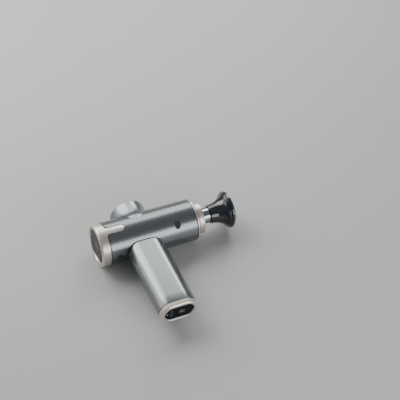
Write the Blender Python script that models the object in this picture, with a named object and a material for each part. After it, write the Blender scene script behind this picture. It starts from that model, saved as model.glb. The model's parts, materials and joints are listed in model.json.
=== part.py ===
"""Handheld massage gun lying on its side, built piece by piece.

The gun's own frame: barrel along +X towards the head, handle along -Y, motor
housing along +Y, and +Z up, square to both.  Lengths are in millimetres here
and are scaled to metres when a mesh is made.
"""

import math

import bmesh
import bpy
from mathutils import Vector

MM = 0.001
GAP = 0.3                 # clearance between two pieces that sit against each other

# Barrel (a two-half shell) and the housing of the motor behind the handle.
BARREL_R = 25.0
BARREL_WALL = 2.5
BARREL_REAR_X = -40.4
BARREL_FRONT_X = 65.9
MOTOR_HOUSING_BASE_R = 24.6
MOTOR_HOUSING_R = 21.3
MOTOR_HOUSING_WALL = 2.4
MOTOR_HOUSING_END_Y = 36.0

# Metal trim at the two ends of the barrel.
TRIM_R = 25.2
CAP_REAR_X = -51.6
CAP_BORE_R = 20.6
PANEL_SEAT_X = -48.2
TONGUE_ANGLE = 81.0       # degrees from the handle side, round towards +Z
TONGUE_HALF_WIDTH = 4.0
TONGUE_ROOT_X = -42.5
TONGUE_TIP_X = -18.8
TONGUE_FLARE = 4.4
COLLAR_FRONT_X = 78.6
COLLAR_R = 19.2
COLLAR_BORE_R = 12.9

# Handle: a tube of race-track section hanging from the barrel along -Y.
HANDLE_FLAT = 7.8         # half length of the flat side of the section
HANDLE_R = 14.6           # radius of the section's round ends
HANDLE_WALL = 1.8
SLEEVE_END_Y = -116.4
RING_END_Y = -122.3
PANEL_INSET = 5.6

# Drive: motor axis along Y through the origin, crank, connecting rod, piston.
MOTOR_MOUNT_R = 20.9
ROTOR_R = 18.2
ROTOR_BORE_R = 16.6
MOTOR_SCREW_CIRCLE_R = 13.0
CRANK_RADIUS = 5.0        # half of the 10 mm stroke
ROD_LENGTH = 30.0
ROD_HALF_THICKNESS = 2.5
PISTON_R = 9.6
PISTON_BORE_R = 7.1
PISTON_REAR_X = 42.0
PISTON_FRONT_X = 89.3
PISTON_BORE_END_X = 58.0

# Massage head that plugs into the piston.
HEAD_REAR_X = 89.6
HEAD_FRONT_X = 117.2
HEAD_RIM_R = 22.5
STEM_R = 6.3
STEM_TIP_X = 60.0
O_RING_GROOVES_X = (64.0, 74.0)
O_RING_GROOVE_WIDTH = 2.4

# Two standard round cells side by side in the handle.
CELL_R = 9.2
CELL_LOW_Y = -111.0
CELL_TOP_Y = -46.0
CELL_SPACING = 9.6

# Controls.
THUMB_BUTTON_X = -31.2
THUMB_BUTTON_R = 3.2
MODE_BUTTON_X = 3.0
PORT_X = -9.0
CHARGE_LENS_X = -14.0
PLUG_X = 42.0
PLUG_ANGLE = 45.5
PLUG_HALF_WIDTH = 3.3     # along the barrel
PLUG_HALF_LENGTH = 4.7    # round the barrel

FINE = 40                 # sides of the large visible rounds
MEDIUM = 24
COARSE = 12

# Where the gun's own origin sits in the world: middle of the outline over the
# world origin, and the flat at the bottom of the metal trim on the floor.
OFFSET = Vector((
    -0.5 * (CAP_REAR_X + HEAD_FRONT_X),
    -0.5 * (RING_END_Y + MOTOR_HOUSING_END_Y),
    TRIM_R * math.cos(math.pi / FINE),
))


# ---------------------------------------------------------------- tools

def clear_scene():
    for item in list(bpy.data.objects):
        bpy.data.objects.remove(item)


def material(name, colour, roughness, metallic=0.0):
    made = bpy.data.materials.new(name)
    made.use_nodes = True
    shader = made.node_tree.nodes["Principled BSDF"]
    shader.inputs["Base Color"].default_value = (*colour, 1.0)
    shader.inputs["Roughness"].default_value = roughness
    shader.inputs["Metallic"].default_value = metallic
    made.diffuse_color = (*colour, 1.0)
    return made


def mesh_object(name, bm, surface, parent, origin=(0, 0, 0), sharp_angle=35.0):
    """Turn a bmesh in millimetres into an object whose origin is at origin."""
    origin = Vector(origin)
    bmesh.ops.translate(bm, verts=bm.verts, vec=-origin)
    bmesh.ops.scale(bm, verts=bm.verts, vec=(MM, MM, MM))
    bmesh.ops.recalc_face_normals(bm, faces=bm.faces)
    mesh = bpy.data.meshes.new(name)
    bm.to_mesh(mesh)
    bm.free()
    mesh.shade_smooth()
    mesh.set_sharp_from_angle(angle=math.radians(sharp_angle))
    made = bpy.data.objects.new(name, mesh)
    bpy.context.scene.collection.objects.link(made)
    made.location = origin * MM
    made.parent = parent
    if surface is not None:
        mesh.materials.append(surface)
    return made


def along_x(a, u, v):
    return Vector((a, u, v))


def along_y(a, u, v):
    return Vector((v, a, u))


def ring_loft(rings, closed):
    """Skin a list of rings; a closed loft joins its last ring to its first."""
    bm = bmesh.new()
    rows = [[bm.verts.new(point) for point in ring] for ring in rings]
    count = len(rows)
    last = count if closed else count - 1
    for i in range(last):
        low, high = rows[i], rows[(i + 1) % count]
        for k in range(len(low)):
            n = (k + 1) % len(low)
            bm.faces.new((low[k], low[n], high[n], high[k]))
    if not closed:
        bm.faces.new(list(reversed(rows[0])))
        bm.faces.new(rows[-1])
    return bm


def turned_mesh(profile, sides, place, centre=(0, 0, 0)):
    """Spin a profile of (along, radius) points.

    A profile that starts and ends on the axis makes a solid with flat ends,
    any other makes a ring or a tube.
    """
    centre = Vector(centre)
    bm = bmesh.new()
    solid = profile[0][1] == 0
    body = profile[1:-1] if solid else profile
    rows = []
    for along, radius in body:
        row = []
        for k in range(sides):
            turn = 2 * math.pi * (k + 0.5) / sides
            point = place(along, radius * math.cos(turn), radius * math.sin(turn))
            row.append(bm.verts.new(point + centre))
        rows.append(row)
    last = len(rows) - 1 if solid else len(rows)
    for i in range(last):
        low, high = rows[i], rows[(i + 1) % len(rows)]
        for k in range(sides):
            n = (k + 1) % sides
            bm.faces.new((low[k], low[n], high[n], high[k]))
    if solid:
        bm.faces.new(list(reversed(rows[0])))
        bm.faces.new(rows[-1])
    return bm


def turned(name, profile, surface, parent, sides=MEDIUM, place=along_x,
           centre=(0, 0, 0), origin=(0, 0, 0)):
    bm = turned_mesh(profile, sides, place, centre)
    return mesh_object(name, bm, surface, parent, origin)


def tube_profile(start, end, inner, outer, chamfer=0.0):
    """A plain tube; the chamfer, where there is one, is on its outer corners."""
    if not chamfer:
        return [(start, outer), (start, inner), (end, inner), (end, outer)]
    return [(start + chamfer, outer), (start, outer - chamfer), (start, inner),
            (end, inner), (end, outer - chamfer), (end - chamfer, outer)]


def rod_profile(start, end, radius, chamfer=0.3):
    return [(start, 0), (start, radius - chamfer), (start + chamfer, radius),
            (end - chamfer, radius), (end, radius - chamfer), (end, 0)]


def race_track(flat, radius, steps=11):
    """Points (x, z) of a race-track outline, anticlockwise from the lower right."""
    points = []
    for side, first in ((flat, -90), (-flat, 90)):
        for k in range(steps + 1):
            turn = math.radians(first + 180 * k / steps)
            points.append((side + radius * math.cos(turn), radius * math.sin(turn)))
    return points


def track_ring(y, inset, flat=HANDLE_FLAT, radius=HANDLE_R, steps=11, shift=0.0):
    return [Vector((x + shift, y, z)) for x, z in race_track(flat, radius - inset, steps)]


def saddle_ring(barrel_radius, inset):
    """The handle's outline wrapped onto a cylinder round the barrel's axis."""
    ring = []
    for x, z in race_track(HANDLE_FLAT, HANDLE_R - inset):
        ring.append(Vector((x, -math.sqrt(barrel_radius ** 2 - z * z), z)))
    return ring


def track_plate(name, y_start, y_end, flat, radius, surface, parent, chamfer=0.3, shift=0.0,
                origin=(0, 0, 0)):
    rings = []
    for y, inset in ((y_start, chamfer), (y_start + chamfer, 0),
                     (y_end - chamfer, 0), (y_end, chamfer)):
        rings.append(track_ring(y, inset, flat, radius, 9, shift))
    return mesh_object(name, ring_loft(rings, False), surface, parent, origin)


def block(name, low, high, surface, parent, bevel=0.3, origin=(0, 0, 0)):
    bm = bmesh.new()
    bmesh.ops.create_cube(bm, size=1.0)
    low, high = Vector(low), Vector(high)
    bmesh.ops.scale(bm, verts=bm.verts, vec=high - low)
    bmesh.ops.translate(bm, verts=bm.verts, vec=(low + high) / 2)
    if bevel:
        bmesh.ops.bevel(bm, geom=list(bm.edges), offset=bevel, segments=1, affect="EDGES")
    return mesh_object(name, bm, surface, parent, origin)


def cutter(name, bm, parent):
    made = mesh_object(name, bm, None, parent)
    made.hide_render = True
    made.display_type = "WIRE"
    return made


def boolean(target, tool, operation):
    modifier = target.modifiers.new(operation.lower() + "_" + tool.name, "BOOLEAN")
    modifier.operation = operation
    modifier.solver = "EXACT"
    modifier.object = tool


def curved_strip(start, end, half_width, low_r, high_r, root_flare):
    """A strip lying round the barrel at the tongue's angle, with a round tip."""
    stations = []
    root_steps = 5
    for k in range(root_steps):
        swing = math.radians(90 * k / (root_steps - 1))
        stations.append((start + root_flare * math.sin(swing),
                         half_width + root_flare * (1 - math.sin(swing))
                         * (1 - 0.35 * math.sin(swing))))
    tip_steps = 7
    for k in range(tip_steps):
        swing = math.radians(80 * k / (tip_steps - 1))
        stations.append((end - half_width * (1 - math.sin(swing)),
                         half_width * math.cos(swing)))
    columns = 4
    rings = []
    for x, half in stations:
        ring = []
        for radius, order in ((high_r, range(columns + 1)), (low_r, range(columns, -1, -1))):
            for c in order:
                arc = half * (2 * c / columns - 1) / BARREL_R
                turn = math.radians(TONGUE_ANGLE) + arc
                ring.append(Vector((x, -radius * math.cos(turn), radius * math.sin(turn))))
        rings.append(ring)
    return ring_loft(rings, False)


def radial_cylinder(x, angle, inner_r, outer_r, radius, sides=COARSE, stretch=1.0):
    """A cylinder standing out from the barrel's axis, drawn out round the barrel."""
    turn = math.radians(angle)
    out = Vector((0, -math.cos(turn), math.sin(turn)))
    side = Vector((0, math.sin(turn), math.cos(turn)))

    def place(along, u, v):
        return out * along + Vector((u, 0, 0)) + side * v * stretch

    profile = [(inner_r, 0), (inner_r, radius), (outer_r, radius), (outer_r, 0)]
    return turned_mesh(profile, sides, place, (x, 0, 0)), place


# ---------------------------------------------------------------- barrel

def barrel_shells(paint, parent):
    inner_r = BARREL_R - BARREL_WALL
    hump_end = MOTOR_HOUSING_END_Y
    edge = 1.6
    hump = [(0.0, 0), (0.0, MOTOR_HOUSING_BASE_R), (9.0, MOTOR_HOUSING_BASE_R), (13.0, 23.7),
            (17.0, 22.6), (22.0, 21.7), (28.0, MOTOR_HOUSING_R)]
    for k in range(4):
        swing = math.radians(90 * k / 3)
        hump.append((hump_end - edge + edge * math.sin(swing),
                     MOTOR_HOUSING_R - edge + edge * math.cos(swing)))
    hump.append((hump_end, 0))
    hump_tool = cutter("motor_housing_form", turned_mesh(hump, FINE, along_y), parent)
    bore = [(BARREL_REAR_X - 2, 0), (BARREL_REAR_X - 2, inner_r),
            (BARREL_FRONT_X + 2, inner_r), (BARREL_FRONT_X + 2, 0)]
    bore_tool = cutter("barrel_bore_form", turned_mesh(bore, FINE, along_x), parent)
    well = [(1.0, 0), (1.0, MOTOR_MOUNT_R + GAP), (12.0, MOTOR_MOUNT_R + GAP),
            (20.0, MOTOR_HOUSING_R - MOTOR_HOUSING_WALL),
            (hump_end - BARREL_WALL, MOTOR_HOUSING_R - MOTOR_HOUSING_WALL),
            (hump_end - BARREL_WALL, 0)]
    well_tool = cutter("motor_bore_form", turned_mesh(well, FINE, along_y), parent)
    mouth = ring_loft([track_ring(-32, 4.4), track_ring(-14, 4.4)], False)
    mouth_tool = cutter("handle_mouth_form", mouth, parent)
    strip = curved_strip(TONGUE_ROOT_X + GAP, TONGUE_TIP_X + GAP, TONGUE_HALF_WIDTH + 0.4,
                         23.5, 28.0, TONGUE_FLARE)
    strip_tool = cutter("tongue_groove_form", strip, parent)
    plug, _ = radial_cylinder(PLUG_X, PLUG_ANGLE, 18, 30, PLUG_HALF_WIDTH + GAP, COARSE,
                              (PLUG_HALF_LENGTH + GAP) / (PLUG_HALF_WIDTH + GAP))
    plug_tool = cutter("plug_hole_form", plug, parent)
    button, _ = radial_cylinder(THUMB_BUTTON_X, 0, 18, 30, THUMB_BUTTON_R + GAP)
    button_tool = cutter("button_hole_form", button, parent)

    outer = [(BARREL_REAR_X, 0), (BARREL_REAR_X, BARREL_R - 0.3),
             (BARREL_REAR_X + 0.3, BARREL_R), (BARREL_FRONT_X - 0.3, BARREL_R),
             (BARREL_FRONT_X, BARREL_R - 0.3), (BARREL_FRONT_X, 0)]
    for name, side in (("barrel_shell_left", 1), ("barrel_shell_right", -1)):
        shell = turned(name, outer, paint, parent, FINE)
        seam = 0.5 * GAP * side
        other = bmesh.new()
        bmesh.ops.create_cube(other, size=1.0)
        bmesh.ops.scale(other, verts=other.verts, vec=(160, 120, 40))
        bmesh.ops.translate(other, verts=other.verts, vec=(10, 0, seam - 20 * side))
        other_tool = cutter(name + "_other_half", other, parent)
        boolean(shell, hump_tool, "UNION")
        boolean(shell, bore_tool, "DIFFERENCE")
        boolean(shell, well_tool, "DIFFERENCE")
        boolean(shell, mouth_tool, "DIFFERENCE")
        boolean(shell, button_tool, "DIFFERENCE")
        if side == 1:
            boolean(shell, strip_tool, "DIFFERENCE")
            boolean(shell, plug_tool, "DIFFERENCE")
        boolean(shell, other_tool, "DIFFERENCE")


def rear_cap(metal, parent):
    profile = [(-40.9, TRIM_R - 0.3), (-41.2, TRIM_R)]
    edge = 3.2
    for k in range(4):
        swing = math.radians(90 * k / 3)
        profile.append((CAP_REAR_X + edge - edge * math.sin(swing),
                        TRIM_R - edge + edge * math.cos(swing)))
    profile += [(CAP_REAR_X + 0.2, CAP_BORE_R + 0.1), (CAP_REAR_X + 0.6, CAP_BORE_R - 0.2),
                (PANEL_SEAT_X, CAP_BORE_R - 0.2), (PANEL_SEAT_X, 18.6), (-47.0, 18.6),
                (-47.0, CAP_BORE_R), (-37.0, CAP_BORE_R), (-37.0, 22.1), (-40.9, 22.1)]
    cap = turned("rear_cap", profile, metal, parent, FINE)
    tongue = curved_strip(TONGUE_ROOT_X, TONGUE_TIP_X, TONGUE_HALF_WIDTH, 23.9, 25.3,
                          TONGUE_FLARE)
    boolean(cap, cutter("tongue_form", tongue, parent), "UNION")


def rear_controls(metal, glass, lens, board, parent):
    panel = turned("rear_panel", rod_profile(-50.1, -48.5, 20.1, 0.2), metal, parent, MEDIUM)
    slot = [[Vector((x, y, z)) for y, z in race_track(5.0, 3.3, 7)] for x in (-53, -45)]
    boolean(panel, cutter("display_slot_form", ring_loft(slot, False), parent), "DIFFERENCE")
    lens_hole = turned_mesh([(-53, 0), (-53, 1.2), (-45, 1.2), (-45, 0)], 16, along_x, (0, 14, 0))
    boolean(panel, cutter("lens_hole_form", lens_hole, parent), "DIFFERENCE")
    window = [[Vector((x, y, z)) for y, z in race_track(5.0, radius, 7)]
              for x, radius in ((-50.2, 2.8), (-50.0, 3.0), (-48.7, 3.0))]
    mesh_object("display_window", ring_loft(window, False), glass, parent)
    turned("status_lens", rod_profile(-50.2, -48.7, 0.9, 0.1), lens, parent, 16,
           centre=(0, 14, 0))
    block("display_module", (-48.2, -7.5, -2.6), (-47.2, 7.5, 2.6), glass, parent)
    turned("control_board", rod_profile(-46.7, -45.3, 20.2, 0.2), board, parent, MEDIUM)


def carrier_screw_spot(k):
    turn = math.radians(5 + 90 * k)
    return (0, 17.5 * math.cos(turn), 17.5 * math.sin(turn))


def front_end(metal, bronze, rubber, plastic, parent):
    collar = [(66.3, TRIM_R - 0.3), (66.3, 22.1), (60.5, 22.1), (60.5, COLLAR_BORE_R),
              (COLLAR_FRONT_X, COLLAR_BORE_R)]
    rim = 1.2
    for k in range(3):
        swing = math.radians(90 * k / 2)
        collar.append((COLLAR_FRONT_X - rim + rim * math.cos(swing),
                       COLLAR_R - rim + rim * math.sin(swing)))
    collar += [(69.2, COLLAR_R + 0.1), (68.4, COLLAR_R + 0.8), (68.2, TRIM_R - 0.4),
               (67.8, TRIM_R), (66.6, TRIM_R)]
    turned("front_collar", collar, metal, parent, FINE)
    turned("linear_bush", tube_profile(44.0, 73.2, PISTON_R + GAP, COLLAR_BORE_R - GAP),
           bronze, parent, MEDIUM)
    turned("shaft_seal", tube_profile(73.6, 78.2, PISTON_R + GAP, COLLAR_BORE_R - GAP, 0.4),
           rubber, parent, MEDIUM)
    carrier = turned("bush_carrier", tube_profile(37.0, 60.1, COLLAR_BORE_R, 22.1, 0.5),
                     plastic, parent, MEDIUM)
    pilot, _ = radial_cylinder(PLUG_X, PLUG_ANGLE, 11, 30, 1.8, 14)
    boolean(carrier, cutter("carrier_pilot_form", pilot, parent), "DIFFERENCE")
    for k in range(4):
        spot = carrier_screw_spot(k)
        hole = turned_mesh([(34, 0), (34, 1.9), (66, 1.9), (66, 0)], 10, along_x, spot)
        boolean(carrier, cutter("carrier_screw_hole_%d" % (k + 1), hole, parent), "DIFFERENCE")


def retaining_screw_and_plug(rubber, steel, parent):
    """The rubber plug in the barrel's side and the screw that it hides."""
    _, oval = radial_cylinder(PLUG_X, PLUG_ANGLE, 0, 1, 1, COARSE,
                              PLUG_HALF_LENGTH / PLUG_HALF_WIDTH)
    plug = [(23.0, 0), (23.0, PLUG_HALF_WIDTH - 0.3), (23.3, PLUG_HALF_WIDTH),
            (24.5, PLUG_HALF_WIDTH), (24.9, PLUG_HALF_WIDTH - 0.4), (24.9, 0)]
    turned("side_plug", plug, rubber, parent, COARSE, oval, (PLUG_X, 0, 0))
    _, place = radial_cylinder(PLUG_X, PLUG_ANGLE, 0, 1, 1)
    screw = [(14.0, 0), (14.0, 1.2), (14.4, 1.5), (22.4, 1.5), (22.4, 0)]
    turned("side_screw", screw, steel, parent, 16, place, (PLUG_X, 0, 0))


# ---------------------------------------------------------------- drive

def screw(name, place, centre, head_from, tip_to, surface, parent, radius=1.5):
    """A pan-head screw whose head starts at head_from and whose tip is at tip_to."""
    way = 1 if tip_to > head_from else -1
    head = head_from + 1.6 * way
    profile = [(head_from, 0), (head_from, 2.6), (head, 2.6), (head, radius),
               (tip_to, radius - 0.3), (tip_to, 0)]
    turned(name, profile, surface, parent, 10, place, centre)


def carrier_screws(steel, parent):
    for k in range(4):
        screw("carrier_screw_%d" % (k + 1), along_x, carrier_screw_spot(k), 35.1, 60.2, steel,
              parent)


def motor_fixed(plastic, steel, copper, laminate, parent):
    """Everything of the motor that stands still: mount, bearings, stator."""
    mount = turned("motor_mount", tube_profile(9.0, 11.4, 4.6, MOTOR_MOUNT_R), plastic, parent,
                   MEDIUM, along_y)
    for k in range(4):
        turn = math.radians(45 + 90 * k)
        x, z = MOTOR_SCREW_CIRCLE_R * math.cos(turn), MOTOR_SCREW_CIRCLE_R * math.sin(turn)
        hole = turned_mesh([(5, 0), (5, 1.7), (14, 1.7), (14, 0)], 10, along_y, (x, 0, z))
        boolean(mount, cutter("mount_screw_hole_%d" % (k + 1), hole, parent), "DIFFERENCE")
        screw("motor_screw_%d" % (k + 1), along_y, (x, 0, z), 7.1, 14.6, steel, parent, 1.3)
    turned("front_motor_bearing", tube_profile(9.0, 11.4, 2.2, 4.3), steel, parent,
           COARSE, along_y)
    stator = turned("motor_stator", tube_profile(12.0, 28.0, 4.6, 10.2), laminate, parent,
                    MEDIUM, along_y)
    flange = tube_profile(12.0, 16.4, 4.6, 16.0)
    boolean(stator, cutter("stator_flange_form", turned_mesh(flange, MEDIUM, along_y), parent),
            "UNION")
    for k in range(4):
        turn = math.radians(45 + 90 * k)
        x, z = MOTOR_SCREW_CIRCLE_R * math.cos(turn), MOTOR_SCREW_CIRCLE_R * math.sin(turn)
        hole = turned_mesh([(10, 0), (10, 1.7), (15.4, 1.7), (15.4, 0)], 10, along_y, (x, 0, z))
        boolean(stator, cutter("stator_screw_hole_%d" % (k + 1), hole, parent), "DIFFERENCE")
    turned("motor_windings", tube_profile(16.8, 27.6, 10.6, 13.8, 1.2), copper, parent,
           MEDIUM, along_y)
    turned("rear_motor_bearing", tube_profile(25.0, 28.0, 2.2, 4.3), steel, parent,
           COARSE, along_y)


def crank_body(steel, magnet, brass, parent):
    """Everything that spins with the motor; the pieces share the motor's axis."""
    bell = [(17.0, ROTOR_BORE_R), (17.0, ROTOR_R), (29.4, ROTOR_R), (30.6, ROTOR_R - 1.2),
            (30.6, 2.2), (28.8, 2.2), (28.8, ROTOR_BORE_R)]
    turned("rotor_bell", bell, steel, parent, MEDIUM, along_y)
    turned("rotor_magnets", tube_profile(17.2, 28.4, 14.3, ROTOR_BORE_R - GAP), magnet, parent,
           MEDIUM, along_y)
    turned("motor_shaft", rod_profile(4.0, 31.6, 1.9), steel, parent, COARSE, along_y)

    outline = []
    web_r, weight_r = 8.6, 12.6
    for k in range(25):
        turn = math.radians(-78 + 156 * k / 24)
        outline.append((weight_r * math.cos(turn), weight_r * math.sin(turn)))
    for k in range(13):
        turn = math.radians(100 + 160 * k / 12)
        outline.append((web_r * math.cos(turn), web_r * math.sin(turn)))
    rings = [[Vector((x, y, z)) for x, z in outline] for y in (3.2, 6.8)]
    disc = mesh_object("crank_disc", ring_loft(rings, False), brass, parent)
    shaft_hole = turned_mesh([(0, 0), (0, 2.2), (9, 2.2), (9, 0)], COARSE, along_y)
    boolean(disc, cutter("crank_shaft_hole", shaft_hole, parent), "DIFFERENCE")
    pin_hole = turned_mesh([(0, 0), (0, 1.6), (9, 1.6), (9, 0)], 16, along_y,
                           (-CRANK_RADIUS, 0, 0))
    boolean(disc, cutter("crank_pin_hole", pin_hole, parent), "DIFFERENCE")
    pin = [(-3.6, 0), (-3.6, 2.3), (-3.1, 2.6), (-2.85, 2.6), (-2.85, 1.3), (6.6, 1.3), (6.6, 0)]
    turned("crank_pin", pin, steel, parent, COARSE, along_y, (-CRANK_RADIUS, 0, 0))


def connecting_rod(alloy, steel, parent):
    """The rod's two eyes and its web, drawn as one outline; it turns on the crank pin."""
    big_x, small_x = -CRANK_RADIUS, -CRANK_RADIUS + ROD_LENGTH
    big_r, small_r, waist = 6.0, 5.0, 2.8
    outline = []
    for k in range(17):
        turn = math.radians(35 + 290 * k / 16)
        outline.append((big_x + big_r * math.cos(turn), big_r * math.sin(turn)))
    for x in (big_x + 8, small_x - 7):
        outline.append((x, -waist))
    for k in range(17):
        turn = math.radians(-145 + 290 * k / 16)
        outline.append((small_x + small_r * math.cos(turn), small_r * math.sin(turn)))
    for x in (small_x - 7, big_x + 8):
        outline.append((x, waist))
    half = ROD_HALF_THICKNESS
    rings = [[Vector((x, y, z)) for x, z in outline] for y in (-half, half)]
    origin = (big_x, 0, 0)
    rod = mesh_object("connecting_rod", ring_loft(rings, False), alloy, parent, origin)
    for name, x, radius in (("rod_big_hole", big_x, 3.9), ("rod_small_hole", small_x, 2.2)):
        hole = turned_mesh([(-6, 0), (-6, radius), (6, radius), (6, 0)], COARSE, along_y,
                           (x, 0, 0))
        boolean(rod, cutter(name, hole, parent), "DIFFERENCE")
    turned("rod_bearing", tube_profile(-2.4, 2.4, 1.6, 3.6), steel, parent, COARSE,
           along_y, (big_x, 0, 0), origin)


def piston(steel, parent):
    """The hollow piston with the lug at its back that carries the wrist pin."""
    origin = (PISTON_REAR_X, 0, 0)
    wall = [(PISTON_REAR_X, 0), (PISTON_REAR_X, PISTON_R - 0.5), (PISTON_REAR_X + 0.5, PISTON_R),
            (PISTON_FRONT_X - 0.5, PISTON_R), (PISTON_FRONT_X, PISTON_R - 0.5),
            (PISTON_FRONT_X, PISTON_BORE_R + 0.4), (PISTON_FRONT_X - 0.4, PISTON_BORE_R),
            (PISTON_BORE_END_X, PISTON_BORE_R), (PISTON_BORE_END_X, 0)]
    body = turned("piston_shaft", wall, steel, parent, MEDIUM, along_x, origin=origin)
    rest_wrist_x = -CRANK_RADIUS + ROD_LENGTH
    lug = bmesh.new()
    bmesh.ops.create_cube(lug, size=1.0)
    low = Vector((rest_wrist_x - 4.5, 2.9, -4.6))
    high = Vector((PISTON_REAR_X + 2.0, 7.4, 4.6))
    bmesh.ops.scale(lug, verts=lug.verts, vec=high - low)
    bmesh.ops.translate(lug, verts=lug.verts, vec=(low + high) / 2)
    boolean(body, cutter("piston_lug_form", lug, parent), "UNION")
    hole = turned_mesh([(-1, 0), (-1, 2.2), (9, 2.2), (9, 0)], COARSE, along_y,
                       (rest_wrist_x, 0, 0))
    boolean(body, cutter("wrist_hole_form", hole, parent), "DIFFERENCE")
    turned("wrist_pin", rod_profile(2.9, 7.9, 1.9), steel, parent, COARSE, along_y,
           (rest_wrist_x, 0, 0), origin)


def massage_head(gloss, rubber, parent):
    origin = (HEAD_REAR_X, 0, 0)
    groove_floor = 5.0
    core = [(STEM_TIP_X, 0), (STEM_TIP_X, STEM_R - 0.8), (STEM_TIP_X + 0.8, STEM_R)]
    for start in O_RING_GROOVES_X:
        end = start + O_RING_GROOVE_WIDTH
        core += [(start, STEM_R), (start, groove_floor), (end, groove_floor), (end, STEM_R)]
    core += [(HEAD_REAR_X, STEM_R), (HEAD_REAR_X, 10.5), (HEAD_REAR_X + 0.4, 10.9),
             (94.0, 11.7), (98.5, 12.6), (103.0, 13.9), (106.6, 15.8), (109.4, 18.4),
             (111.4, 20.6), (111.9, 20.8), (111.9, 0)]
    turned("head_core", core, gloss, parent, FINE, along_x, origin=origin)
    pad = [(112.2, 0), (112.2, 21.2), (112.8, HEAD_RIM_R - 0.4), (113.6, HEAD_RIM_R),
           (115.2, HEAD_RIM_R - 0.2), (116.4, HEAD_RIM_R - 1.0), (HEAD_FRONT_X, 20.2),
           (HEAD_FRONT_X, 0)]
    turned("head_pad", pad, rubber, parent, FINE, along_x, origin=origin)
    cord_r, ring_r = 0.8, 6.1
    for k, start in enumerate(O_RING_GROOVES_X):
        middle = start + 0.5 * O_RING_GROOVE_WIDTH
        ring = []
        for j in range(6):
            turn = 2 * math.pi * j / 6
            ring.append((middle - cord_r * math.cos(turn), ring_r + cord_r * math.sin(turn)))
        turned("head_o_ring_%d" % (k + 1), ring, rubber, parent, MEDIUM, along_x, origin=origin)


# ---------------------------------------------------------------- handle

def handle_shell(satin, rubber, parent):
    wall = HANDLE_WALL
    rings = [saddle_ring(26.2, 0.9), saddle_ring(26.5, 0.35), saddle_ring(27.2, 0.0)]
    rings += [track_ring(-32.0, 0.0), track_ring(-60.0, 0.0), track_ring(-90.0, 0.0),
              track_ring(SLEEVE_END_Y + 0.4, 0.0), track_ring(SLEEVE_END_Y, 0.4),
              track_ring(SLEEVE_END_Y, wall), track_ring(-32.0, wall), saddle_ring(26.2, wall)]
    mesh_object("handle_sleeve", ring_loft(rings, True), satin, parent)
    seal = [saddle_ring(25.3, 1.3), saddle_ring(25.9, 1.3), saddle_ring(25.9, 3.2),
            saddle_ring(25.3, 3.2)]
    mesh_object("handle_gasket", ring_loft(seal, True), rubber, parent)


def handle_end(metal, glass, rubber, steel, board, lens, parent):
    seat_y = RING_END_Y + 2.9
    ledge_inset = PANEL_INSET + 1.2
    profile = [(SLEEVE_END_Y - 0.3, 0.5), (SLEEVE_END_Y - 0.6, 0.0), (-118.9, 0.3),
               (-119.2, 0.8), (-119.6, 0.6), (-121.0, 0.8), (-121.9, 1.6), (RING_END_Y, 2.8),
               (RING_END_Y, PANEL_INSET - 1.1), (RING_END_Y + 0.5, PANEL_INSET - 0.3),
               (seat_y, PANEL_INSET - 0.3), (seat_y, ledge_inset),
               (SLEEVE_END_Y - 0.3, ledge_inset)]
    rings = [track_ring(y, inset) for y, inset in profile]
    mesh_object("end_ring", ring_loft(rings, True), metal, parent)

    radius = HANDLE_R - PANEL_INSET
    panel = track_plate("end_panel", -121.0, seat_y - GAP, HANDLE_FLAT, radius, glass, parent)
    button_hole = ring_loft([track_ring(y, 0, 1.8, 3.3, 7, MODE_BUTTON_X)
                             for y in (-124, -117)], False)
    boolean(panel, cutter("mode_button_hole", button_hole, parent), "DIFFERENCE")
    port_hole = ring_loft([[Vector((PORT_X + z, y, x)) for x, z in reversed(race_track(2.7, 1.9, 5))]
                           for y in (-124, -117)], False)
    boolean(panel, cutter("port_hole_form", port_hole, parent), "DIFFERENCE")
    lens_hole = turned_mesh([(-124, 0), (-124, 1.1), (-117, 1.1), (-117, 0)], 16, along_y,
                            (CHARGE_LENS_X, 0, 0))
    boolean(panel, cutter("charge_lens_hole", lens_hole, parent), "DIFFERENCE")
    turned("charge_lens", rod_profile(-121.1, -119.0, 0.8, 0.1), lens, parent, 16, along_y,
           (CHARGE_LENS_X, 0, 0))

    shell = []
    for y, reach in ((-120.8, 1.6), (-115.0, 1.6), (-115.0, 0.3), (-115.6, 0.3),
                     (-115.6, 1.25), (-120.8, 1.25)):
        shell.append([Vector((PORT_X + z, y, x)) for x, z in race_track(2.7, reach, 5)])
    mesh_object("charging_port", ring_loft(shell, True), steel, parent)

    origin = (MODE_BUTTON_X, -121.4, 0)
    cap = [track_ring(y, inset, 1.8, 3.0, 7, MODE_BUTTON_X)
           for y, inset in ((-121.4, 0.6), (-121.2, 0.1), (-121.0, 0.0), (-118.6, 0.0))]
    foot = [track_ring(y, -0.9, 1.8, 3.0, 7, MODE_BUTTON_X) for y in (-118.6, -117.6)]
    mesh_object("mode_button", ring_loft(cap + foot, False), rubber, parent, origin)
    track_plate("port_board", -114.4, -113.2, HANDLE_FLAT, 12.0, board, parent)
    block("mode_switch", (MODE_BUTTON_X - 2.2, -116.5, -2.2), (MODE_BUTTON_X + 2.2, -114.7, 2.2),
          rubber, parent)


def thumb_button(rubber, plastic, board, parent):
    profile = [(-25.7, 0), (-25.7, 1.6), (-25.4, 2.6), (-24.9, 3.0), (-24.0, THUMB_BUTTON_R),
               (-21.6, THUMB_BUTTON_R), (-21.6, 4.2), (-20.8, 4.2), (-20.8, 0)]
    spot = (THUMB_BUTTON_X, 0, 0)
    turned("thumb_button", profile, rubber, parent, COARSE, along_y, spot,
           (THUMB_BUTTON_X, -25.7, 0))
    block("thumb_switch", (THUMB_BUTTON_X - 2.2, -19.9, -2.2), (THUMB_BUTTON_X + 2.2, -17.2, 2.2),
          plastic, parent)
    block("switch_board", (THUMB_BUTTON_X - 5, -16.9, -8), (THUMB_BUTTON_X + 6, -15.7, 8),
          board, parent)


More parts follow.
